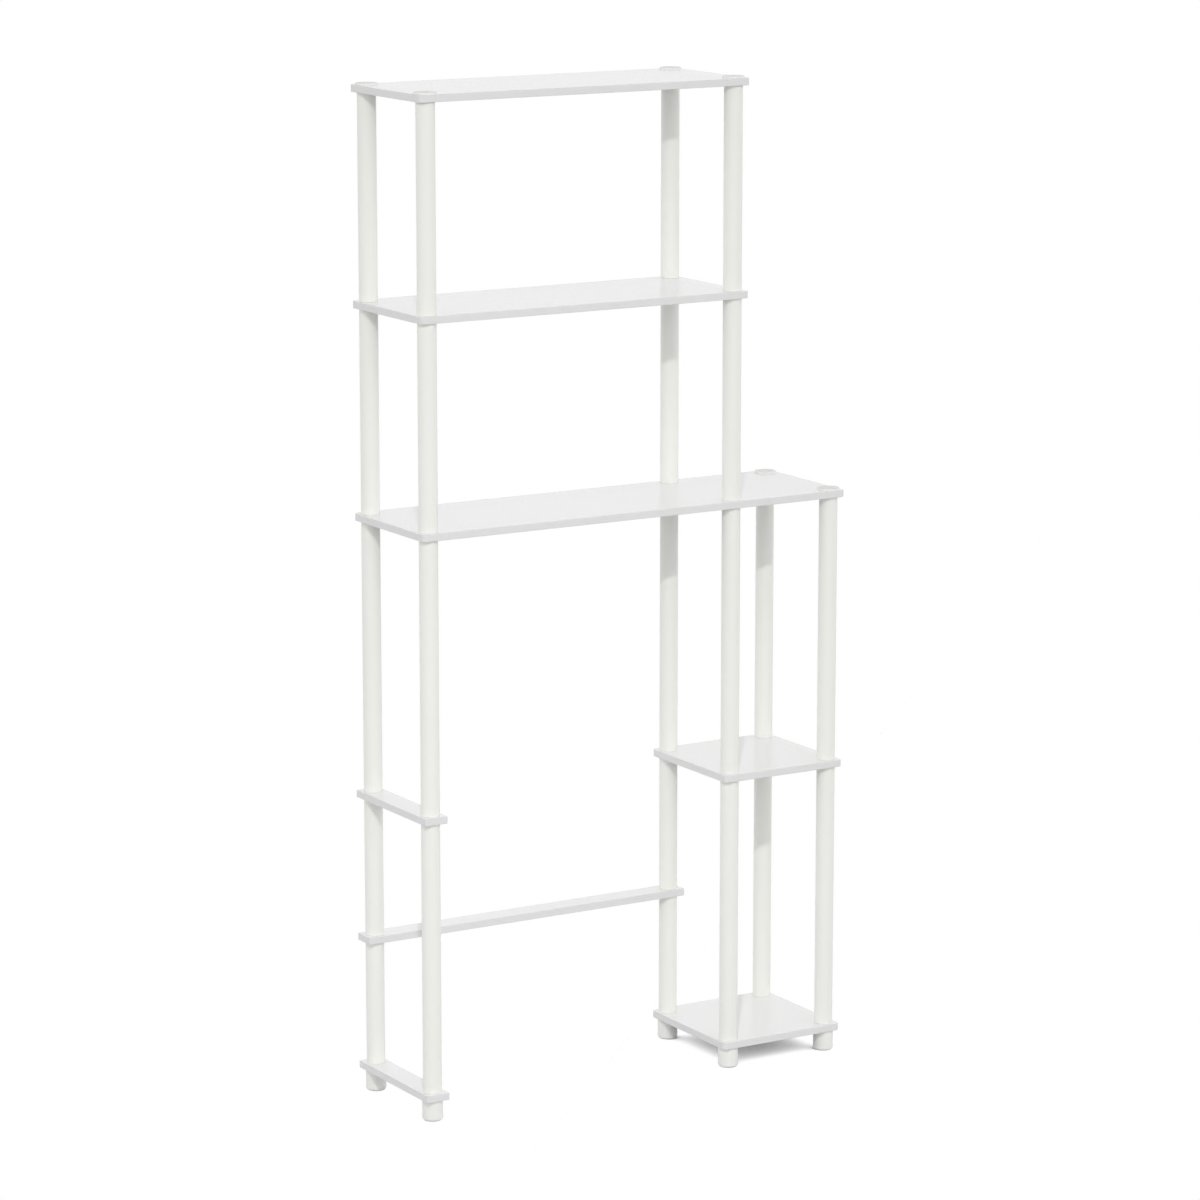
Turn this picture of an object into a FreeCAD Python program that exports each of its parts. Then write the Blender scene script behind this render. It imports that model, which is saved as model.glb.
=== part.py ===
import FreeCAD, Part

import os

import Sketcher

# Over-toilet shelf: boards clamped between the ends of stacked plastic tubes.
# Six columns stand on feet: two on the left, two on the right and two at the outer side of a narrow tower.
# The origin is on the floor, under the middle of the shelf. +X is right, +Y is to the rear, +Z is up.

# Driving dimensions in millimetres.
SIZES = {
    "tube_diameter": 31.0,
    "tube_wall": 2.0,
    "upper_tube_length": 337.0,
    "lower_tube_length": 453.0,
    "below_rail_tube_length": 209.0,
    "bay_pitch": 574.0,
    "tower_pitch": 194.0,
    "depth_pitch": 194.0,
    "board_thickness": 12.0,
    "edge_margin": 5.0,
    "shelf_corner_radius": 8.0,
    "hole_clearance": 0.4,
    "spigot_clearance": 0.1,
    "spigot_reach": 18.0,
    "rib_thickness": 5.0,
    "cap_lip": 2.75,
    "cap_height": 3.0,
    "cap_bevel": 1.0,
    "foot_lip": 1.5,
    "foot_height": 35.0,
    "foot_bevel": 4.0,
}

# Sizes that follow from the driving dimensions, as expressions on the sheet.
# A hole's size is across its flat sides: it repeats at every joint, and a tube, cap or foot always covers it.
BOARD = "Sizes.board_thickness"
OVERHANG = "(Sizes.tube_diameter / 2 + Sizes.edge_margin)"
BORE = "(Sizes.tube_diameter - 2 * Sizes.tube_wall)"
SPIGOT = f"({BORE} - 2 * Sizes.spigot_clearance)"
RIB_SPAN = f"sqrt({SPIGOT} ^ 2 - Sizes.rib_thickness ^ 2)"
SPIGOT_LENGTH = f"({BOARD} + Sizes.spigot_reach)"
HOLE = f"({SPIGOT} + 2 * Sizes.hole_clearance)"
HOLE_SIDES = 10
HOLE_CORNER_RADIUS = f"{HOLE} / 2 / cos(180 deg / {HOLE_SIDES})"
CAP_DIAMETER = "(Sizes.tube_diameter + 2 * Sizes.cap_lip)"
FOOT_DIAMETER = "(Sizes.tube_diameter + 2 * Sizes.foot_lip)"

# Column axes across the shelf and from front to rear.
COLUMN_X = {
    "left": "(-(Sizes.bay_pitch + Sizes.tower_pitch) / 2)",
    "right": "((Sizes.bay_pitch - Sizes.tower_pitch) / 2)",
    "tower": "((Sizes.bay_pitch + Sizes.tower_pitch) / 2)",
}
ROW_Y = {
    "front": "(-Sizes.depth_pitch / 2)",
    "rear": "(Sizes.depth_pitch / 2)",
}

# Height of each board's underside, level by level.
LEVEL_Z = {"base": "Sizes.foot_height"}
LEVEL_Z["rail"] = f"({LEVEL_Z['base']} + {BOARD} + Sizes.below_rail_tube_length)"
LEVEL_Z["middle"] = f"({LEVEL_Z['base']} + {BOARD} + Sizes.lower_tube_length)"
LEVEL_Z["wide"] = f"({LEVEL_Z['middle']} + {BOARD} + Sizes.lower_tube_length)"
LEVEL_Z["shelf"] = f"({LEVEL_Z['wide']} + {BOARD} + Sizes.upper_tube_length)"
LEVEL_Z["top"] = f"({LEVEL_Z['shelf']} + {BOARD} + Sizes.upper_tube_length)"

BOTH_ROWS = ("front", "rear")

# Shelves have rounded corners, strips and rails have square ones.
ROUNDED = True
SQUARE = False

# Boards: label, level, the columns and rows spanned, the corners, and the couplers that pass through.
BOARDS = (
    ("top_shelf", "top", ("left", "right"), BOTH_ROWS, ROUNDED, None),
    ("middle_shelf", "shelf", ("left", "right"), BOTH_ROWS, ROUNDED, "middle_shelf_couplers"),
    ("wide_shelf", "wide", ("left", "right", "tower"), BOTH_ROWS, ROUNDED, "wide_shelf_couplers"),
    ("tower_middle_shelf", "middle", ("right", "tower"), BOTH_ROWS, ROUNDED, "tower_couplers"),
    ("tower_base_shelf", "base", ("right", "tower"), BOTH_ROWS, ROUNDED, None),
    ("left_middle_strip", "middle", ("left",), BOTH_ROWS, SQUARE, "left_strip_couplers"),
    ("left_base_strip", "base", ("left",), BOTH_ROWS, SQUARE, None),
    ("back_rail", "rail", ("left", "right"), ("rear",), SQUARE, "back_rail_couplers"),
)

# The boards' levels that each column passes, from its foot to its cap.
FULL_FRONT = ("base", "middle", "wide", "shelf", "top")
FULL_REAR = ("base", "rail", "middle", "wide", "shelf", "top")
TOWER = ("base", "middle", "wide")
COLUMN_LEVELS = {
    ("left", "front"): FULL_FRONT,
    ("left", "rear"): FULL_REAR,
    ("right", "front"): FULL_FRONT,
    ("right", "rear"): FULL_REAR,
    ("tower", "front"): TOWER,
    ("tower", "rear"): TOWER,
}

# What a tube is called, from the levels at its two ends.
TUBE_NAMES = {
    ("base", "middle"): "base_tube",
    ("base", "rail"): "below_rail_tube",
    ("rail", "middle"): "above_rail_tube",
    ("middle", "wide"): "middle_tube",
    ("wide", "shelf"): "upper_tube",
    ("shelf", "top"): "top_tube",
}

doc = FreeCAD.newDocument("OverToiletShelf")


def fill_sheet():
    """Writes the driving dimensions into the sheet, one named cell each."""
    sheet = doc.addObject("Spreadsheet::Sheet", "Sizes")
    for row, (alias, value) in enumerate(SIZES.items(), start=1):
        sheet.set(f"A{row}", alias)
        sheet.set(f"B{row}", str(value))
        sheet.setAlias(f"B{row}", alias)
    doc.recompute()


def new_body(label, x, y, z):
    """Makes an empty body whose origin is bound to three expressions."""
    body = doc.addObject("PartDesign::Body", label)
    body.Label = label
    for axis, expression in zip("xyz", (x, y, z)):
        body.setExpression(f"Placement.Base.{axis}", expression)
    return body


def new_sketch(body, name):
    """Makes a sketch on the body's own XY plane."""
    sketch = body.newObject("Sketcher::SketchObject", name)
    plane = next(feature for feature in body.Origin.OriginFeatures if feature.Role == "XY_Plane")
    sketch.AttachmentSupport = [(plane, "")]
    sketch.MapMode = "FlatFace"
    return sketch


def drive(sketch, name, expression, kind, *elements):
    """Adds a named dimension to the sketch and binds it to an expression."""
    start_value = 1.0
    index = sketch.addConstraint(Sketcher.Constraint(kind, *elements, start_value))
    sketch.renameConstraint(index, name)
    sketch.setExpression(f"Constraints.{name}", expression)


def draw_rectangle(sketch, length, width, centred=False):
    """Draws a rectangle on the sketch's origin, by a corner or its centre, with both sides bound."""
    corners = [FreeCAD.Vector(x, y, 0) for x, y in ((0, 0), (1, 0), (1, 1), (0, 1))]
    for index, corner in enumerate(corners):
        following = corners[(index + 1) % len(corners)]
        sketch.addGeometry(Part.LineSegment(corner, following))
    for index in range(len(corners)):
        following = (index + 1) % len(corners)
        sketch.addConstraint(Sketcher.Constraint("Coincident", index, 2, following, 1))
        direction = "Horizontal" if index % 2 == 0 else "Vertical"
        sketch.addConstraint(Sketcher.Constraint(direction, index))
    if centred:
        sketch.addConstraint(Sketcher.Constraint("Symmetric", 0, 1, 2, 1, -1, 1))
    else:
        sketch.addConstraint(Sketcher.Constraint("Coincident", 0, 1, -1, 1))
    drive(sketch, "length", length, "DistanceX", 0, 1, 0, 2)
    drive(sketch, "width", width, "DistanceY", 1, 1, 1, 2)


def draw_circle(sketch, name, diameter):
    """Draws a circle on the sketch's origin, bound to a diameter."""
    circle = sketch.addGeometry(Part.Circle(FreeCAD.Vector(1, 1, 0), FreeCAD.Vector(0, 0, 1), 1))
    drive(sketch, f"{name}_diameter", diameter, "Diameter", circle)
    sketch.addConstraint(Sketcher.Constraint("Coincident", circle, 3, -1, 1))


def extrude(body, kind, name, sketch, length, upward=True):
    """Pads or pockets a sketch by a bound length, towards +Z or -Z."""
    feature = body.newObject(f"PartDesign::{kind}", name)
    feature.Profile = sketch
    feature.setExpression("Length", length)
    feature.Reversed = upward == (kind == "Pocket")
    doc.recompute()
    return feature


def pad_crossed_ribs(body, length, start, upward=True):
    """Pads two crossed ribs, whose corners just clear a tube's bore, from a bound height."""
    ribs = (("RibAcross", RIB_SPAN, "Sizes.rib_thickness"), ("RibAlong", "Sizes.rib_thickness", RIB_SPAN))
    for name, size_x, size_y in ribs:
        section = new_sketch(body, f"{name}Section")
        section.setExpression("AttachmentOffset.Base.z", start)
        draw_rectangle(section, size_x, size_y, centred=True)
        extrude(body, "Pad", name, section, length, upward)


def break_edges(body, kind, name, base, edges, size):
    """Fillets or chamfers the named edges of a feature."""
    feature = body.newObject(f"PartDesign::{kind}", name)
    feature.Base = (base, edges)
    feature.setExpression("Radius" if kind == "Fillet" else "Size", size)
    doc.recompute()
    return feature


def upright_edges(feature):
    """Names the feature's edges along Z."""
    edges = enumerate(feature.Shape.Edges, start=1)
    return [f"Edge{number}" for number, edge in edges if abs(edge.tangentAt(edge.FirstParameter).z) > 0.99]


def round_edges(feature):
    """Names the feature's circular edges, lowest first."""
    circles = []
    for number, edge in enumerate(feature.Shape.Edges, start=1):
        if isinstance(edge.Curve, Part.Circle):
            circles.append((edge.Curve.Center.z, number))
    return [f"Edge{number}" for height, number in sorted(circles)]


def add_board(label, level, columns, rows, rounded):
    """Cuts a board that spans some columns and rows, and drills a hole for each column."""
    first_x = COLUMN_X[columns[0]]
    first_y = ROW_Y[rows[0]]
    body = new_body(label, f"{first_x} - {OVERHANG}", f"{first_y} - {OVERHANG}", LEVEL_Z[level])
    outline = new_sketch(body, "Outline")
    length = f"{COLUMN_X[columns[-1]]} - {first_x} + 2 * {OVERHANG}"
    width = f"{ROW_Y[rows[-1]]} - {first_y} + 2 * {OVERHANG}"
    draw_rectangle(outline, length, width)
    blank = extrude(body, "Pad", "Board", outline, BOARD)
    if rounded:
        corners = upright_edges(blank)
        blank = break_edges(body, "Fillet", "Corners", blank, corners, "Sizes.shelf_corner_radius")
    for column in columns:
        for row in rows:
            x = f"{COLUMN_X[column]} - {first_x} + {OVERHANG}"
            y = f"{ROW_Y[row]} - {first_y} + {OVERHANG}"
            cut_hole(body, f"{column}_{row}_hole", x, y)
    return body


def cut_hole(body, name, x, y):
    """Cuts a flat-sided hole through a board, centred on a column's axis."""
    solid = body.Tip.Shape.Volume
    hole = body.newObject("PartDesign::SubtractivePrism", name)
    hole.Polygon = HOLE_SIDES
    hole.setExpression("Circumradius", HOLE_CORNER_RADIUS)
    hole.setExpression("Height", BOARD)
    hole.setExpression("Placement.Base.x", x)
    hole.setExpression("Placement.Base.y", y)
    doc.recompute()
    if hole.Shape.Volume >= solid:
        raise RuntimeError(f"{name} cuts nothing")


def add_tube(label, x, y, bottom, top):
    """Extrudes a plain round tube between two heights."""
    body = new_body(label, x, y, bottom)
    section = new_sketch(body, "Section")
    draw_circle(section, "outside", "Sizes.tube_diameter")
    draw_circle(section, "bore", BORE)
    extrude(body, "Pad", "Tube", section, f"{top} - {bottom}")
    return body


def add_coupler(label, x, y, underside):
    """Makes the cross-ribbed peg that joins two tubes through a board."""
    body = new_body(label, x, y, f"{underside} - Sizes.spigot_reach")
    pad_crossed_ribs(body, f"{SPIGOT_LENGTH} + Sizes.spigot_reach", "0")
    return body


def add_cap(label, x, y, seat):
    """Makes an end cap: a disc with a bevelled rim, on a ribbed stem that goes down into the tube."""
    body = new_body(label, x, y, seat)
    rim = new_sketch(body, "Rim")
    draw_circle(rim, "rim", CAP_DIAMETER)
    disc = extrude(body, "Pad", "Disc", rim, "Sizes.cap_height")
    break_edges(body, "Chamfer", "RimBevel", disc, round_edges(disc)[-1:], "Sizes.cap_bevel")
    pad_crossed_ribs(body, SPIGOT_LENGTH, "0", upward=False)
    return body


def add_foot(label, x, y, height):
    """Makes a foot: a round block with a bevelled sole and a ribbed spigot up into the tube."""
    body = new_body(label, x, y, "0")
    section = new_sketch(body, "Section")
    draw_circle(section, "block", FOOT_DIAMETER)
    block = extrude(body, "Pad", "Block", section, height)
    break_edges(body, "Chamfer", "SoleBevel", block, round_edges(block)[:1], "Sizes.foot_bevel")
    pad_crossed_ribs(body, SPIGOT_LENGTH, height)
    return body


def add_group(label, bodies):
    """Gathers identical separate pieces under one label."""
    group = doc.addObject("Part::Compound", label)
    group.Label = label
    group.Links = bodies
    return group


def build():
    """Builds every piece and returns the labelled sub-parts."""
    fill_sheet()
    nodes = []
    coupler_groups = {}
    for label, level, columns, rows, rounded, couplers in BOARDS:
        nodes.append(add_board(label, level, columns, rows, rounded))
        for column in columns:
            for row in rows:
                coupler_groups[level, column, row] = couplers
    groups = {"end_caps": [], "feet": []}
    for (column, row), levels in COLUMN_LEVELS.items():
        x = COLUMN_X[column]
        y = ROW_Y[row]
        place = f"{column}_{row}"
        for lower, upper in zip(levels, levels[1:]):
            label = f"{place}_{TUBE_NAMES[lower, upper]}"
            nodes.append(add_tube(label, x, y, f"({LEVEL_Z[lower]} + {BOARD})", LEVEL_Z[upper]))
        for level in levels[1:-1]:
            couplers = coupler_groups[level, column, row]
            coupler = add_coupler(f"{place}_{level}_coupler", x, y, LEVEL_Z[level])
            groups.setdefault(couplers, []).append(coupler)
        groups["end_caps"].append(add_cap(f"{place}_cap", x, y, f"{LEVEL_Z[levels[-1]]} + {BOARD}"))
        groups["feet"].append(add_foot(f"{place}_foot", x, y, LEVEL_Z[levels[0]]))
    nodes.extend(add_group(label, bodies) for label, bodies in groups.items())
    doc.recompute()
    return nodes


def check(nodes):
    """Stops if any object failed or any sub-part has no sound shape."""
    for item in doc.Objects:
        if "Invalid" in item.State or "Error" in item.State:
            raise RuntimeError(f"{item.Label} failed: {item.State}")
    for node in nodes:
        if node.Shape.isNull() or not node.Shape.isValid():
            raise RuntimeError(f"{node.Label} has no valid shape")


def export(nodes):
    """Writes each sub-part's shape to a file named after its label."""
    os.makedirs("parts", exist_ok=True)
    for node in nodes:
        node.Shape.exportStep(f"parts/{node.Label}.step")
        print(node.Label, len(node.Shape.Solids), round(node.Shape.Volume))


sub_parts = build()
check(sub_parts)
export(sub_parts)
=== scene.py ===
"""Dresses the over-toilet shelf: boards clamped between stacked tubes, with caps and feet."""

import logging
import math
from dataclasses import dataclass
from enum import Enum
from typing import Sequence

import bmesh
import bpy
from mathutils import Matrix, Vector


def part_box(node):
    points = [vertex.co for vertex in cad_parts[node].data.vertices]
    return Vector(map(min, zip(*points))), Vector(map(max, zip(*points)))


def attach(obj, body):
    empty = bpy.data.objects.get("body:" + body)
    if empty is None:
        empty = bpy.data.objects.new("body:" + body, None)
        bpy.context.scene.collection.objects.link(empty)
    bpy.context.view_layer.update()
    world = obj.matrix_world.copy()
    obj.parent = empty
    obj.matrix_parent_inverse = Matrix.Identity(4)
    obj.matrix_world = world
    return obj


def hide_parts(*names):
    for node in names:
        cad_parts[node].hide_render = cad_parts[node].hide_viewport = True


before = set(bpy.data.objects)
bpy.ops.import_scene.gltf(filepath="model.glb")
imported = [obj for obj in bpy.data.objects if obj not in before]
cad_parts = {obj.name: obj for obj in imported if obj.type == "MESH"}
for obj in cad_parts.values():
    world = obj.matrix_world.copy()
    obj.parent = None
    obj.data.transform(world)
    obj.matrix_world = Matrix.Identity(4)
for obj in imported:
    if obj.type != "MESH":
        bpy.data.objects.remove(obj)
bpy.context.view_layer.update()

BODY = "root"
LOG = logging.getLogger("over_toilet_shelf")

Point = tuple[float, float]
Range = tuple[float, float]
Place = tuple[float, float, float]
Color = tuple[float, float, float, float]
Ring = list[bmesh.types.BMVert]
Socket = bpy.types.NodeSocket
Inputs = dict[str | int, object]

# Angles in degrees: the ways that a profile faces, and turns in plan.
DOWN = -90.0
OUT = 0.0
UP = 90.0
QUARTER_TURN = 90.0
FULL_TURN = 360.0

# Edges that turn by more than this are drawn sharp.
SHARP_ANGLE = math.radians(40.0)

# The cross ribs of cap stems and foot spigots, the same as those of the frame's couplers.
RIB_ARMS = 4
RIB_THICKNESS = 0.005
RIB_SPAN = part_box("left_strip_couplers")[1].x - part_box("left_strip_couplers")[0].x

# The values of a node: all that a share can be, and a strength that changes nothing.
WHOLE: Range = (0.0, 1.0)
UNCHANGED = 1.0

# The colour and the strength of light at which the stage shows plain white.
WHITE: Color = (1.0, 1.0, 1.0, 1.0)
WHITE_LIGHT = 1.0


class Slot(Enum):
    """The record's material slots."""

    BOARD = "board"
    TUBE = "tube"
    MOULDING = "moulding"


class Corner(Enum):
    """How a board's corners are cut in plan, as a radius in metres."""

    ROUNDED = 0.008
    SQUARE = 0.001


class Column(Enum):
    """The six columns, each as its lowest tube and the board that its end cap sits on."""

    LEFT_FRONT = ("left_front_base_tube", "top_shelf")
    LEFT_REAR = ("left_rear_below_rail_tube", "top_shelf")
    RIGHT_FRONT = ("right_front_base_tube", "top_shelf")
    RIGHT_REAR = ("right_rear_below_rail_tube", "top_shelf")
    TOWER_FRONT = ("tower_front_base_tube", "wide_shelf")
    TOWER_REAR = ("tower_rear_base_tube", "wide_shelf")

    def __init__(self, lowest_tube: str, capped_board: str) -> None:
        """Keeps the nodes of the column's lowest tube and of the board under its end cap."""
        self.lowest_tube = lowest_tube
        self.capped_board = capped_board

    @property
    def axis(self) -> Vector:
        """The foot of the column's axis, on the floor."""
        low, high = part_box(self.lowest_tube)
        return Vector(((low.x + high.x) / 2, (low.y + high.y) / 2, 0.0))

    @property
    def foot_top(self) -> float:
        """The height where the column's foot meets its lowest board, the same for all columns."""
        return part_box("tower_base_shelf")[0].z

    @property
    def cap_seat(self) -> float:
        """The height of the board's face under the column's end cap."""
        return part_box(self.capped_board)[1].z

    @property
    def label(self) -> str:
        """The column's name in small letters."""
        return self.name.lower()


COLUMN_SPAN = Column.TOWER_FRONT.axis.x - Column.LEFT_FRONT.axis.x


def round_width(node: str) -> float:
    """Finds the diameter of the round pieces in a node that has one on every column.

    Args:
        node: The node of the frame that groups the pieces.

    Returns:
        The diameter of one piece, in metres.
    """
    low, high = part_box(node)
    return high.x - low.x - COLUMN_SPAN


def arc(centre: Point, radius: float, start: float, end: float, steps: int) -> list[Point]:
    """Spaces points evenly along an arc.

    Args:
        centre: The arc's centre.
        radius: The arc's radius.
        start: The first point's angle in degrees.
        end: The last point's angle in degrees.
        steps: How many chords the arc has.

    Returns:
        The points from start to end.
    """
    angles = [math.radians(start + (end - start) * step / steps) for step in range(steps + 1)]
    return [(centre[0] + radius * math.cos(a), centre[1] + radius * math.sin(a)) for a in angles]


def circle(centre: Vector, radius: float, sides: int) -> list[Point]:
    """Spaces points evenly round a circle in plan."""
    return arc((centre.x, centre.y), radius, OUT, FULL_TURN, sides)[:-1]


def round_below(reach: float, low: float, radius: float, steps: int) -> list[Point]:
    """Rounds the lower outer edge of a profile, from its underside to its side."""
    return arc((reach - radius, low + radius), radius, DOWN, OUT, steps)


def round_above(reach: float, high: float, radius: float, steps: int) -> list[Point]:
    """Rounds the upper outer edge of a profile, from its side to its top."""
    return arc((reach - radius, high - radius), radius, OUT, UP, steps)


def add_ring(mesh: bmesh.types.BMesh, points: Sequence[Point], height: float) -> Ring:
    """Adds a level ring of vertices, in the order of its points in plan."""
    return [mesh.verts.new((x, y, height)) for x, y in points]


def bridge(mesh: bmesh.types.BMesh, first: Ring, second: Ring) -> None:
    """Joins two rings by a band of faces; a ring of one vertex closes to a point.

    Args:
        mesh: The mesh that gets the faces.
        first: The vertices on one side of the band.
        second: The vertices on its other side.
    """
    count = max(len(first), len(second))
    for index in range(count):
        following = (index + 1) % count
        corners = (
            first[index % len(first)],
            first[following % len(first)],
            second[following % len(second)],
            second[index % len(second)],
        )
        mesh.faces.new(list(dict.fromkeys(corners)))


def fill(mesh: bmesh.types.BMesh, *rings: Ring) -> None:
    """Fills the level area between an outer ring and any rings inside it.

    Args:
        mesh: The mesh that gets the faces.
        rings: The outer ring, then the inner ones.
    """
    edges = []
    for ring in rings:
        for ends in zip(ring, ring[1:] + ring[:1]):
            edges.append(mesh.edges.get(ends) or mesh.edges.new(ends))
    bmesh.ops.triangle_fill(mesh, use_beauty=True, edges=edges)


def revolve(
    mesh: bmesh.types.BMesh,
    axis: Vector,
    profile: Sequence[Point],
    sides: int,
    closed: bool,
) -> Ring:
    """Turns a profile about an upright axis.

    Args:
        mesh: The mesh that gets the surface.
        axis: A point on the axis.
        profile: Points of radius and height, where radius 0 is a point on the axis.
        sides: How many sides the surface has.
        closed: Whether the profile's last point joins its first.

    Returns:
        The profile's last ring of vertices.
    """
    rings = []
    for radius, height in profile:
        points = circle(axis, radius, sides)
        rings.append(add_ring(mesh, points if radius > 0.0 else points[:1], height))
    following = rings[1:] + rings[:1] if closed else rings[1:]
    for first, second in zip(rings, following):
        bridge(mesh, first, second)
    return rings[-1]


def add_peg(mesh: bmesh.types.BMesh, axis: Vector, seat: Ring, end: float) -> None:
    """Closes a round seat with a flat face and the cross-ribbed peg that stands on it.

    Args:
        mesh: The mesh that gets the faces.
        axis: A point on the peg's axis.
        seat: The ring round the face that the peg stands on.
        end: The height of the peg's far end.
    """
    span, rib = RIB_SPAN / 2, RIB_THICKNESS / 2
    arm = ((span, -rib), (span, rib), (rib, rib))
    outline = []
    for turns in range(RIB_ARMS):
        for x, y in arm:
            for _ in range(turns):
                x, y = -y, x
            outline.append((axis.x + x, axis.y + y))
    root = add_ring(mesh, outline, seat[0].co.z)
    tip = add_ring(mesh, outline, end)
    fill(mesh, seat, root)
    bridge(mesh, root, tip)
    fill(mesh, tip)


def to_object(mesh: bmesh.types.BMesh, name: str) -> bpy.types.Object:
    """Turns a finished mesh into a smooth-shaded object of the scene.

    Args:
        mesh: The mesh, which is freed.
        name: The object's name.

    Returns:
        The new object.
    """
    bmesh.ops.recalc_face_normals(mesh, faces=mesh.faces[:])
    data = bpy.data.meshes.new(name)
    mesh.to_mesh(data)
    mesh.free()
    data.shade_smooth()
    data.set_sharp_from_angle(angle=SHARP_ANGLE)
    made = bpy.data.objects.new(name, data)
    bpy.context.scene.collection.objects.link(made)
    made.modifiers.new("flat_faces_stay_flat", "WEIGHTED_NORMAL").keep_sharp = True
    return made


class Graph:
    """Adds nodes to one node tree and links them as they are added."""

    def __init__(self, tree: bpy.types.NodeTree) -> None:
        """Empties the tree and keeps it."""
        self.tree = tree
        tree.nodes.clear()

    def add(self, kind: str, inputs: Inputs | None = None, **settings: object) -> bpy.types.Node:
        """Adds one node.

        Args:
            kind: The node's type.
            inputs: A value or another node's output for each input that isn't at its default.
            settings: The node's own settings.

        Returns:
            The new node.
        """
        node = self.tree.nodes.new(kind)
        for name, setting in settings.items():
            setattr(node, name, setting)
        for key, value in (inputs or {}).items():
            if isinstance(value, Socket):
                self.tree.links.new(value, node.inputs[key])
            else:
                node.inputs[key].default_value = value
        return node

    def place(self, group: bpy.types.NodeTree, inputs: Inputs) -> bpy.types.Node:
        """Places a shared node group with its own values."""
        return self.add("ShaderNodeGroup", inputs, node_tree=group)

    def noise(self, place: Socket, scale: object, detail: float) -> Socket:
        """Makes noise of one scale and detail over the places given."""
        inputs = {"Vector": place, "Scale": scale, "Detail": detail}
        return self.add("ShaderNodeTexNoise", inputs).outputs["Fac"]

    def combine(self, operation: str, first: object, second: object) -> Socket:
        """Combines two values by a named operation."""
        node = self.add("ShaderNodeMath", {0: first, 1: second}, operation=operation)
        return node.outputs["Value"]

    def combine_vectors(self, operation: str, first: object, second: object) -> bpy.types.Node:
        """Combines two vectors by a named operation."""
        return self.add("ShaderNodeVectorMath", {0: first, 1: second}, operation=operation)

    def remap(
        self,
        value: Socket,
        low: object = WHOLE[0],
        high: object = WHOLE[1],
        source: Range = WHOLE,
    ) -> Socket:
        """Maps one range of values to another, and holds it within that.

        Args:
            value: The value to map.
            low: What the source's first value becomes.
            high: What the source's second value becomes.
            source: The range that is mapped.

        Returns:
            The mapped value's socket.
        """
        inputs = {
            "Value": value,
            "From Min": source[0],
            "From Max": source[1],
            "To Min": low,
            "To Max": high,
        }
        return self.add("ShaderNodeMapRange", inputs).outputs["Result"]

    def mix(self, share: Socket, first: object, second: object) -> Socket:
        """Mixes two colours.

        Args:
            share: How much of the second colour shows.
            first: The first colour.
            second: The second colour.

        Returns:
            The mixed colour's socket.
        """
        factor, color_a, color_b, color_out = 0, 6, 7, 2
        inputs = {factor: share, color_a: first, color_b: second}
        return self.add("ShaderNodeMix", inputs, data_type="RGBA").outputs[color_out]

    def seen_directly(self) -> Socket:
        """Makes a mask of the rays that show the stage itself, straight or in a reflection.

        Returns:
            The mask's socket.
        """
        path = self.add("ShaderNodeLightPath")
        shown = path.outputs["Is Camera Ray"]
        for ray in ("Is Glossy Ray", "Is Transmission Ray"):
            shown = self.combine("MAXIMUM", shown, path.outputs[ray])
        return shown


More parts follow.
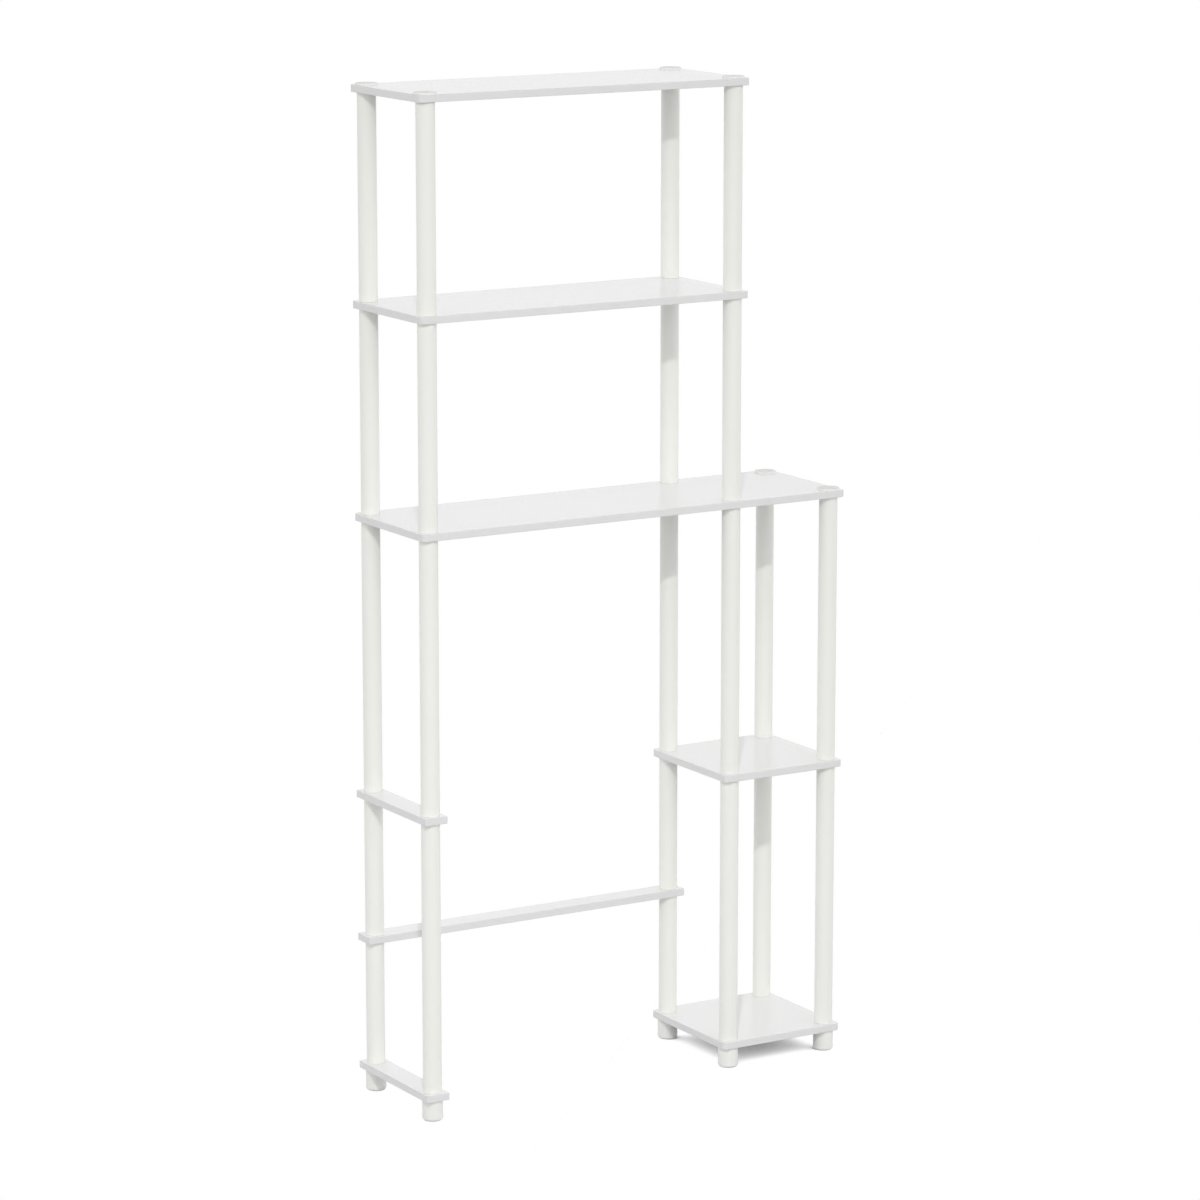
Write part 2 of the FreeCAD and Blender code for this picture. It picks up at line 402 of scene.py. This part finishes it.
@dataclass
class Effects:
    """The node groups that the finishes share, each built once.

    Each range is the part of a noise, or of an edge's turn, that is drawn out to the full.
    """

    cloud_detail: float = 4.0
    cloud_range: Range = (0.35, 0.65)
    grain_detail: float = 2.0
    grain_range: Range = (0.30, 0.70)
    edge_samples: int = 4
    edge_range: Range = (1.0, 0.85)
    patch_detail: float = 2.0
    patch_range: Range = (0.35, 0.60)

    def __post_init__(self) -> None:
        """Builds the groups."""
        self.mottle = self._mottle()
        self.texture = self._texture()
        self.edge_wear = self._edge_wear()

    @staticmethod
    def _group(
        name: str, inputs: dict[str, str], outputs: dict[str, str]
    ) -> tuple[Graph, bpy.types.Node]:
        """Makes an empty group.

        Args:
            name: The group's name.
            inputs: The type of each named input.
            outputs: The type of each named output.

        Returns:
            The group's graph and the node that holds its inputs.
        """
        tree = bpy.data.node_groups.new(name, "ShaderNodeTree")
        for direction, sockets in (("INPUT", inputs), ("OUTPUT", outputs)):
            for socket, kind in sockets.items():
                socket_type = f"NodeSocket{kind}"
                tree.interface.new_socket(name=socket, in_out=direction, socket_type=socket_type)
        graph = Graph(tree)
        return graph, graph.add("NodeGroupInput")

    def _mottle(self) -> bpy.types.NodeTree:
        """Builds the faint clouds of another shade in a plain colour.

        Returns:
            The group, which puts out Color.
        """
        inputs = {"Color": "Color", "Shade": "Color", "Scale": "Float", "Amount": "Float"}
        graph, given = self._group("mottle", inputs, {"Color": "Color"})
        place = graph.add("ShaderNodeTexCoord").outputs["Object"]
        cloud = graph.noise(place, given.outputs["Scale"], self.cloud_detail)
        share = graph.remap(cloud, high=given.outputs["Amount"], source=self.cloud_range)
        color = graph.mix(share, given.outputs["Color"], given.outputs["Shade"])
        graph.add("NodeGroupOutput", {"Color": color})
        return graph.tree

    def _texture(self) -> bpy.types.NodeTree:
        """Builds the fine relief of a pressed, extruded or moulded skin, with its change of gloss.

        Returns:
            The group, which puts out Roughness and Height.
        """
        inputs = {"Stretch": "Vector", "Scale": "Float", "Smooth": "Float", "Rough": "Float"}
        graph, given = self._group("texture", inputs, {"Roughness": "Float", "Height": "Float"})
        place = graph.add("ShaderNodeTexCoord").outputs["Object"]
        drawn = graph.combine_vectors("MULTIPLY", place, given.outputs["Stretch"])
        grain = graph.noise(drawn.outputs["Vector"], given.outputs["Scale"], self.grain_detail)
        smooth, rough = given.outputs["Smooth"], given.outputs["Rough"]
        gloss = graph.remap(grain, smooth, rough, self.grain_range)
        graph.add("NodeGroupOutput", {"Roughness": gloss, "Height": grain})
        return graph.tree

    def _edge_wear(self) -> bpy.types.NodeTree:
        """Builds the mask of edges that hands have rubbed, broken up along their length.

        Returns:
            The group, which puts out Mask.
        """
        inputs = {"Reach": "Float", "Scale": "Float", "Amount": "Float"}
        graph, given = self._group("edge_wear", inputs, {"Mask": "Float"})
        reach = {"Radius": given.outputs["Reach"]}
        rounded = graph.add("ShaderNodeBevel", reach, samples=self.edge_samples).outputs["Normal"]
        straight = graph.add("ShaderNodeNewGeometry").outputs["Normal"]
        turn = graph.combine_vectors("DOT_PRODUCT", rounded, straight).outputs["Value"]
        near = graph.remap(turn, high=given.outputs["Amount"], source=self.edge_range)
        place = graph.add("ShaderNodeTexCoord").outputs["Object"]
        noise = graph.noise(place, given.outputs["Scale"], self.patch_detail)
        patch = graph.remap(noise, source=self.patch_range)
        graph.add("NodeGroupOutput", {"Mask": graph.combine("MULTIPLY", near, patch)})
        return graph.tree


@dataclass(frozen=True)
class Finish:
    """A white skin: its colours, the fine relief in it and its rubbed edges."""

    name: str
    color: Color
    shade: Color
    worn: Color
    mottle_scale: float
    mottle_amount: float
    stretch: Place
    texture_scale: float
    smooth: float
    rough: float
    relief: float
    wear_reach: float
    wear_amount: float = 0.5
    wear_scale: float = 60.0
    refraction: float = 1.46

    def material(self, effects: Effects) -> bpy.types.Material:
        """Builds the finish.

        Args:
            effects: The shared node groups.

        Returns:
            The material.
        """
        made = bpy.data.materials.new(self.name)
        made.use_nodes = True
        graph = Graph(made.node_tree)
        mottle_values = {
            "Color": self.color,
            "Shade": self.shade,
            "Scale": self.mottle_scale,
            "Amount": self.mottle_amount,
        }
        mottle = graph.place(effects.mottle, mottle_values)
        texture_values = {
            "Stretch": self.stretch,
            "Scale": self.texture_scale,
            "Smooth": self.smooth,
            "Rough": self.rough,
        }
        texture = graph.place(effects.texture, texture_values)
        wear_values = {
            "Reach": self.wear_reach,
            "Scale": self.wear_scale,
            "Amount": self.wear_amount,
        }
        wear = graph.place(effects.edge_wear, wear_values)
        bump_values = {"Height": texture.outputs["Height"], "Distance": self.relief}
        skin_values = {
            "Base Color": graph.mix(wear.outputs["Mask"], mottle.outputs["Color"], self.worn),
            "Roughness": texture.outputs["Roughness"],
            "Normal": graph.add("ShaderNodeBump", bump_values).outputs["Normal"],
            "IOR": self.refraction,
        }
        skin = graph.add("ShaderNodeBsdfPrincipled", skin_values)
        graph.add("ShaderNodeOutputMaterial", {"Surface": skin.outputs["BSDF"]})
        return made


LAMINATE = Finish(
    name="board_laminate",
    color=(0.828, 0.828, 0.828, 1.0),
    shade=(0.812, 0.813, 0.815, 1.0),
    worn=(0.770, 0.770, 0.770, 1.0),
    mottle_scale=9.0,
    mottle_amount=0.5,
    stretch=(1.0, 1.0, 1.0),
    texture_scale=220.0,
    smooth=0.17,
    rough=0.23,
    relief=0.000002,
    wear_reach=0.0008,
)
EDGE_BAND = Finish(
    name="board_edge_band",
    color=(0.679, 0.679, 0.679, 1.0),
    shade=(0.662, 0.662, 0.664, 1.0),
    worn=(0.628, 0.628, 0.626, 1.0),
    mottle_scale=14.0,
    mottle_amount=0.7,
    stretch=(0.05, 0.05, 1.0),
    texture_scale=900.0,
    smooth=0.34,
    rough=0.46,
    relief=0.00004,
    wear_reach=0.0008,
)
TUBE_PLASTIC = Finish(
    name="tube_plastic",
    color=(0.780, 0.785, 0.745, 1.0),
    shade=(0.765, 0.770, 0.728, 1.0),
    worn=(0.734, 0.739, 0.698, 1.0),
    mottle_scale=7.0,
    mottle_amount=0.6,
    stretch=(1.0, 1.0, 0.012),
    texture_scale=420.0,
    smooth=0.28,
    rough=0.36,
    relief=0.00002,
    wear_reach=0.0007,
)
CAP_PLASTIC = Finish(
    name="cap_plastic",
    color=(0.731, 0.733, 0.717, 1.0),
    shade=(0.716, 0.718, 0.701, 1.0),
    worn=(0.699, 0.701, 0.684, 1.0),
    mottle_scale=40.0,
    mottle_amount=0.5,
    stretch=(1.0, 1.0, 1.0),
    texture_scale=1400.0,
    smooth=0.46,
    rough=0.58,
    relief=0.00002,
    wear_reach=0.0007,
)
FOOT_PLASTIC = Finish(
    name="foot_plastic",
    color=(0.768, 0.772, 0.746, 1.0),
    shade=(0.754, 0.758, 0.729, 1.0),
    worn=(0.735, 0.739, 0.713, 1.0),
    mottle_scale=40.0,
    mottle_amount=0.5,
    stretch=(1.0, 1.0, 1.0),
    texture_scale=1400.0,
    smooth=0.38,
    rough=0.50,
    relief=0.00002,
    wear_reach=0.0007,
)


class Palette:
    """Hands out one material for each finish."""

    def __init__(self) -> None:
        """Builds the shared effects."""
        self.effects = Effects()
        self.materials: dict[Finish, bpy.types.Material] = {}

    def material(self, finish: Finish) -> bpy.types.Material:
        """Finds a finish's material, and builds it the first time.

        Args:
            finish: The finish.

        Returns:
            Its material.
        """
        if finish not in self.materials:
            self.materials[finish] = finish.material(self.effects)
        return self.materials[finish]


@dataclass
class Piece:
    """A piece that stands for a node of the frame."""

    node: str

    @property
    def name(self) -> str:
        """The piece's own name."""
        return f"{self.node}_skin"

    @property
    def slot(self) -> Slot:
        """The record's slot that matches the piece."""
        raise NotImplementedError

    @property
    def finishes(self) -> tuple[Finish, ...]:
        """The piece's finishes, in the order of its faces' material numbers."""
        raise NotImplementedError

    def build(self) -> bpy.types.Object:
        """Builds the piece's mesh."""
        raise NotImplementedError

    def dress(self, made: bpy.types.Object, palette: Palette) -> None:
        """Gives a built piece its materials and its place in the frame.

        Args:
            made: The built piece.
            palette: The materials.
        """
        for finish in self.finishes:
            made.data.materials.append(palette.material(finish))
        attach(made, BODY)
        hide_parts(self.node)


@dataclass
class Board(Piece):
    """A laminated board with banded, eased edges and holes for the columns that pass it."""

    corner: Corner = Corner.ROUNDED
    ease: float = 0.0007
    ease_steps: int = 3
    corner_steps: int = 10
    hole_radius: float = 0.0138
    hole_sides: int = 48

    @property
    def slot(self) -> Slot:
        """The boards' slot."""
        return Slot.BOARD

    @property
    def finishes(self) -> tuple[Finish, ...]:
        """Laminate on the two faces, banding round the edge and in the holes."""
        return (LAMINATE, EDGE_BAND)

    def _outline(self, inset: float) -> list[Point]:
        """Draws the board's outline in plan.

        Args:
            inset: How far inside the board's edge the outline runs.

        Returns:
            The outline's points.
        """
        low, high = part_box(self.node)
        radius = self.corner.value
        points = []
        corners = ((high.x, high.y), (low.x, high.y), (low.x, low.y), (high.x, low.y))
        for quarter, (x, y) in enumerate(corners):
            centre_x = x - math.copysign(radius, x - (low.x + high.x) / 2)
            centre_y = y - math.copysign(radius, y - (low.y + high.y) / 2)
            start = QUARTER_TURN * quarter
            end = start + QUARTER_TURN
            points += arc((centre_x, centre_y), radius - inset, start, end, self.corner_steps)
        return points

    def _edge_profile(self) -> list[Point]:
        """Draws the eased edge from the underside to the top.

        Returns:
            Points of inset from the board's edge and height.
        """
        low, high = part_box(self.node)
        profile = round_below(self.ease, low.z, self.ease, self.ease_steps)
        profile += round_above(self.ease, high.z, self.ease, self.ease_steps)
        return [(self.ease - reach, height) for reach, height in profile]

    def build(self) -> bpy.types.Object:
        """Builds the board.

        Returns:
            The board's object.
        """
        low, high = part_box(self.node)
        mesh = bmesh.new()
        profile = self._edge_profile()
        rings = [add_ring(mesh, self._outline(inset), height) for inset, height in profile]
        for first, second in zip(rings, rings[1:]):
            bridge(mesh, first, second)
        under, over = [rings[0]], [rings[-1]]
        for column in Column:
            axis = column.axis
            if low.x < axis.x < high.x and low.y < axis.y < high.y:
                hole = circle(axis, self.hole_radius, self.hole_sides)
                under.append(add_ring(mesh, hole, low.z))
                over.append(add_ring(mesh, hole, high.z))
                bridge(mesh, under[-1], over[-1])
        for face in mesh.faces:
            face.material_index = self.finishes.index(EDGE_BAND)
        fill(mesh, *under)
        fill(mesh, *over)
        return to_object(mesh, self.name)


@dataclass
class Tube(Piece):
    """A plain extruded tube with eased ends."""

    wall: float = 0.002
    ease: float = 0.0005
    ease_steps: int = 3
    sides: int = 96

    @property
    def slot(self) -> Slot:
        """The tubes' slot."""
        return Slot.TUBE

    @property
    def finishes(self) -> tuple[Finish, ...]:
        """Extruded plastic all over."""
        return (TUBE_PLASTIC,)

    def build(self) -> bpy.types.Object:
        """Builds the tube.

        Returns:
            The tube's object.
        """
        low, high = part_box(self.node)
        axis = (low + high) / 2
        radius = (high.x - low.x) / 2
        bore = radius - self.wall
        profile = round_below(radius, low.z, self.ease, self.ease_steps)
        profile += round_above(radius, high.z, self.ease, self.ease_steps)
        profile += [(bore, high.z), (bore, low.z)]
        mesh = bmesh.new()
        revolve(mesh, axis, profile, self.sides, closed=True)
        return to_object(mesh, self.name)


@dataclass
class Moulding(Piece):
    """A moulded round piece at one end of a column."""

    column: Column
    sides: int = 96

    @property
    def slot(self) -> Slot:
        """The mouldings' slot."""
        return Slot.MOULDING


@dataclass
class EndCap(Moulding):
    """A low cap with a rounded rim and a shallow dish, on a stem that goes into the tube."""

    rim: float = 0.001
    rim_steps: int = 6
    lip: float = 0.0042
    dish_slope: float = 0.0025
    dish_depth: float = 0.0004

    @property
    def name(self) -> str:
        """The cap's own name."""
        return f"{self.column.label}_end_cap"

    @property
    def finishes(self) -> tuple[Finish, ...]:
        """The caps' duller plastic all over."""
        return (CAP_PLASTIC,)

    def build(self) -> bpy.types.Object:
        """Builds the cap.

        Returns:
            The cap's object.
        """
        seat = self.column.cap_seat
        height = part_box(self.node)[1].z - Column.LEFT_FRONT.cap_seat
        stem = Column.TOWER_FRONT.cap_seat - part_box(self.node)[0].z
        radius = round_width(self.node) / 2
        top = seat + height
        dish_radius = radius - self.lip
        dish_floor = top - self.dish_depth
        profile = [(0.0, dish_floor), (dish_radius - self.dish_slope, dish_floor)]
        profile += [(dish_radius, top)]
        profile += reversed(round_above(radius, top, self.rim, self.rim_steps))
        profile += [(radius, seat)]
        mesh = bmesh.new()
        under = revolve(mesh, self.column.axis, profile, self.sides, closed=False)
        add_peg(mesh, self.column.axis, under, seat - stem)
        return to_object(mesh, self.name)


@dataclass
class Foot(Moulding):
    """A round foot with a rounded sole, on a spigot that goes up into the tube."""

    sole_round: float = 0.004
    sole_steps: int = 8
    ease: float = 0.0006
    ease_steps: int = 3

    @property
    def name(self) -> str:
        """The foot's own name."""
        return f"{self.column.label}_foot"

    @property
    def finishes(self) -> tuple[Finish, ...]:
        """The feet's plastic all over."""
        return (FOOT_PLASTIC,)

    def build(self) -> bpy.types.Object:
        """Builds the foot.

        Returns:
            The foot's object.
        """
        radius = round_width(self.node) / 2
        axis = self.column.axis
        profile = [(0.0, axis.z)]
        profile += round_below(radius, axis.z, self.sole_round, self.sole_steps)
        profile += round_above(radius, self.column.foot_top, self.ease, self.ease_steps)
        mesh = bmesh.new()
        upper = revolve(mesh, axis, profile, self.sides, closed=False)
        add_peg(mesh, axis, upper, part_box(self.node)[1].z)
        return to_object(mesh, self.name)


@dataclass
class Couplers:
    """A group of the frame's own couplers, which keep their shape."""

    node: str

    def dress(self, palette: Palette) -> None:
        """Gives the couplers the finish of the feet."""
        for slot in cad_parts[self.node].material_slots:
            slot.material = palette.material(FOOT_PLASTIC)


@dataclass(frozen=True)
class Studio:
    """A white floor and backdrop, a fill of light all round and one small lamp high on the left.

    The fill is bright at the horizon and dim towards dim_side. The lamp's spread is in degrees.
    The floor's shade under the pieces is painted shade, drawn by ambient occlusion.
    """

    floor_size: float = 160.0
    floor_color: Color = (0.52, 0.52, 0.52, 1.0)
    # Painted shade on the floor: its reach, its samples, the occlusion at which it starts, and its
    # darkest glow.
    painted_shade_reach: float = 0.4
    painted_shade_samples: int = 32
    painted_shade_start: float = 0.22
    deepest_painted_shade: float = 0.0
    dim_side: Place = (-0.07, 0.0, 1.0)
    dim_light: float = 0.20
    bright_light: float = 1.97
    lamp_place: Place = (-1.98, -3.21, 3.26)
    lamp_aim: Place = (-0.4, -0.1, 0.5)
    lamp_width: float = 0.10
    lamp_spread: float = 90.0
    lamp_power: float = 0.70

    def build(self) -> None:
        """Builds the stage and its light."""
        self._build_floor()
        self._build_backdrop()
        self._build_lamp()

    def _build_floor(self) -> None:
        """Lays the floor."""
        half = self.floor_size / 2
        corners = [(-half, -half, 0.0), (half, -half, 0.0), (half, half, 0.0), (-half, half, 0.0)]
        data = bpy.data.meshes.new("floor")
        data.from_pydata(corners, [], [(0, 1, 2, 3)])
        data.materials.append(self._floor_material())
        floor = bpy.data.objects.new("floor", data)
        bpy.context.scene.collection.objects.link(floor)

    def _floor_material(self) -> bpy.types.Material:
        """Builds a pale paint that glows white to the camera and in reflections, with painted
        shade, drawn by ambient occlusion, where things stand close over it.

        Returns:
            The material.
        """
        material = bpy.data.materials.new("floor")
        material.use_nodes = True
        graph = Graph(material.node_tree)
        paint = graph.add("ShaderNodeBsdfDiffuse", {"Color": self.floor_color})
        # Painted shade: the floor's glow is dimmed by ambient occlusion where things stand close
        # over it.
        reach = {"Distance": self.painted_shade_reach}
        around = graph.add("ShaderNodeAmbientOcclusion", reach, samples=self.painted_shade_samples)
        painted_shade_span = (WHOLE[0], self.painted_shade_start)
        light = graph.remap(around.outputs["AO"], self.deepest_painted_shade, WHITE_LIGHT, painted_shade_span)
        glow = graph.add("ShaderNodeEmission", {"Strength": light})
        unseen, seen = 1, 2
        layers = {
            "Fac": graph.seen_directly(),
            unseen: paint.outputs["BSDF"],
            seen: glow.outputs["Emission"],
        }
        surface = graph.add("ShaderNodeMixShader", layers).outputs["Shader"]
        graph.add("ShaderNodeOutputMaterial", {"Surface": surface})
        return material

    def _build_backdrop(self) -> None:
        """Surrounds the stage with light, dimmer overhead and to the left, that shows white."""
        world = bpy.data.worlds.new("backdrop")
        bpy.context.scene.world = world
        world.use_nodes = True
        graph = Graph(world.node_tree)
        way = graph.add("ShaderNodeTexCoord").outputs["Generated"]
        rise = graph.combine_vectors("DOT_PRODUCT", way, self.dim_side).outputs["Value"]
        light = graph.remap(rise, self.bright_light, self.dim_light)
        strength = graph.remap(graph.seen_directly(), light, WHITE_LIGHT)
        sky = graph.add("ShaderNodeBackground", {"Color": WHITE, "Strength": strength})
        graph.add("ShaderNodeOutputWorld", {"Surface": sky.outputs["Background"]})

    def _build_lamp(self) -> None:
        """Hangs the lamp, which lights near and far pieces alike, and most where it is aimed."""
        data = bpy.data.lights.new("key_lamp", "AREA")
        data.shape = "DISK"
        data.size = self.lamp_width
        data.spread = math.radians(self.lamp_spread)
        data.energy = self.lamp_power
        data.use_nodes = True
        graph = Graph(data.node_tree)
        even = graph.add("ShaderNodeLightFalloff", {"Strength": UNCHANGED}).outputs["Constant"]
        glow = graph.add("ShaderNodeEmission", {"Strength": even})
        graph.add("ShaderNodeOutputLight", {"Surface": glow.outputs["Emission"]})
        lamp = bpy.data.objects.new("key_lamp", data)
        lamp.location = self.lamp_place
        way = Vector(self.lamp_aim) - Vector(self.lamp_place)
        lamp.rotation_euler = way.to_track_quat("-Z", "Y").to_euler()
        bpy.context.scene.collection.objects.link(lamp)


@dataclass(frozen=True)
class Viewpoint:
    """The camera: its place, its turn to the right and tilt down in degrees, and its lens."""

    place: Place = (-3.8834, -6.4228, 2.3188)
    turn: float = 31.122
    tilt: float = 11.366
    lens: float = 138.16
    farthest: float = 400.0

    def build(self) -> None:
        """Sets up the camera."""
        data = bpy.data.cameras.new("camera")
        data.lens = self.lens
        data.clip_end = self.farthest
        camera = bpy.data.objects.new("camera", data)
        camera.location = self.place
        pitch = math.radians(QUARTER_TURN - self.tilt)
        camera.rotation_euler = (pitch, 0.0, math.radians(-self.turn))
        bpy.context.scene.collection.objects.link(camera)
        bpy.context.scene.camera = camera


def list_pieces() -> list[Piece]:
    """Lists every piece that takes a node's place, from the boards to the feet.

    Returns:
        The pieces in building order.
    """
    shelves = ("top_shelf", "middle_shelf", "wide_shelf", "tower_middle_shelf", "tower_base_shelf")
    strips = ("left_middle_strip", "left_base_strip", "back_rail")
    tubes = sorted(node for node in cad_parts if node.endswith("_tube"))
    pieces: list[Piece] = [Board(node) for node in shelves]
    pieces += [Board(node, corner=Corner.SQUARE) for node in strips]
    pieces += [Tube(node) for node in tubes]
    pieces += [EndCap("end_caps", column) for column in Column]
    pieces += [Foot("feet", column) for column in Column]
    return pieces


def main() -> None:
    """Builds the studio, then each piece of the shelf."""
    logging.basicConfig(level=logging.INFO, format="%(name)s: %(message)s")
    bpy.context.scene.view_settings.view_transform = "Standard"
    Studio().build()
    Viewpoint().build()
    palette = Palette()
    for piece in list_pieces():
        made = piece.build()
        piece.dress(made, palette)
        faces = len(made.data.polygons)
        LOG.info("%s stands for %s, with %d faces", made.name, piece.node, faces)
    for node in sorted(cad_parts):
        if node.endswith("_couplers"):
            Couplers(node).dress(palette)
            LOG.info("%s keeps its shape", node)


if __name__ == "__main__":
    main()
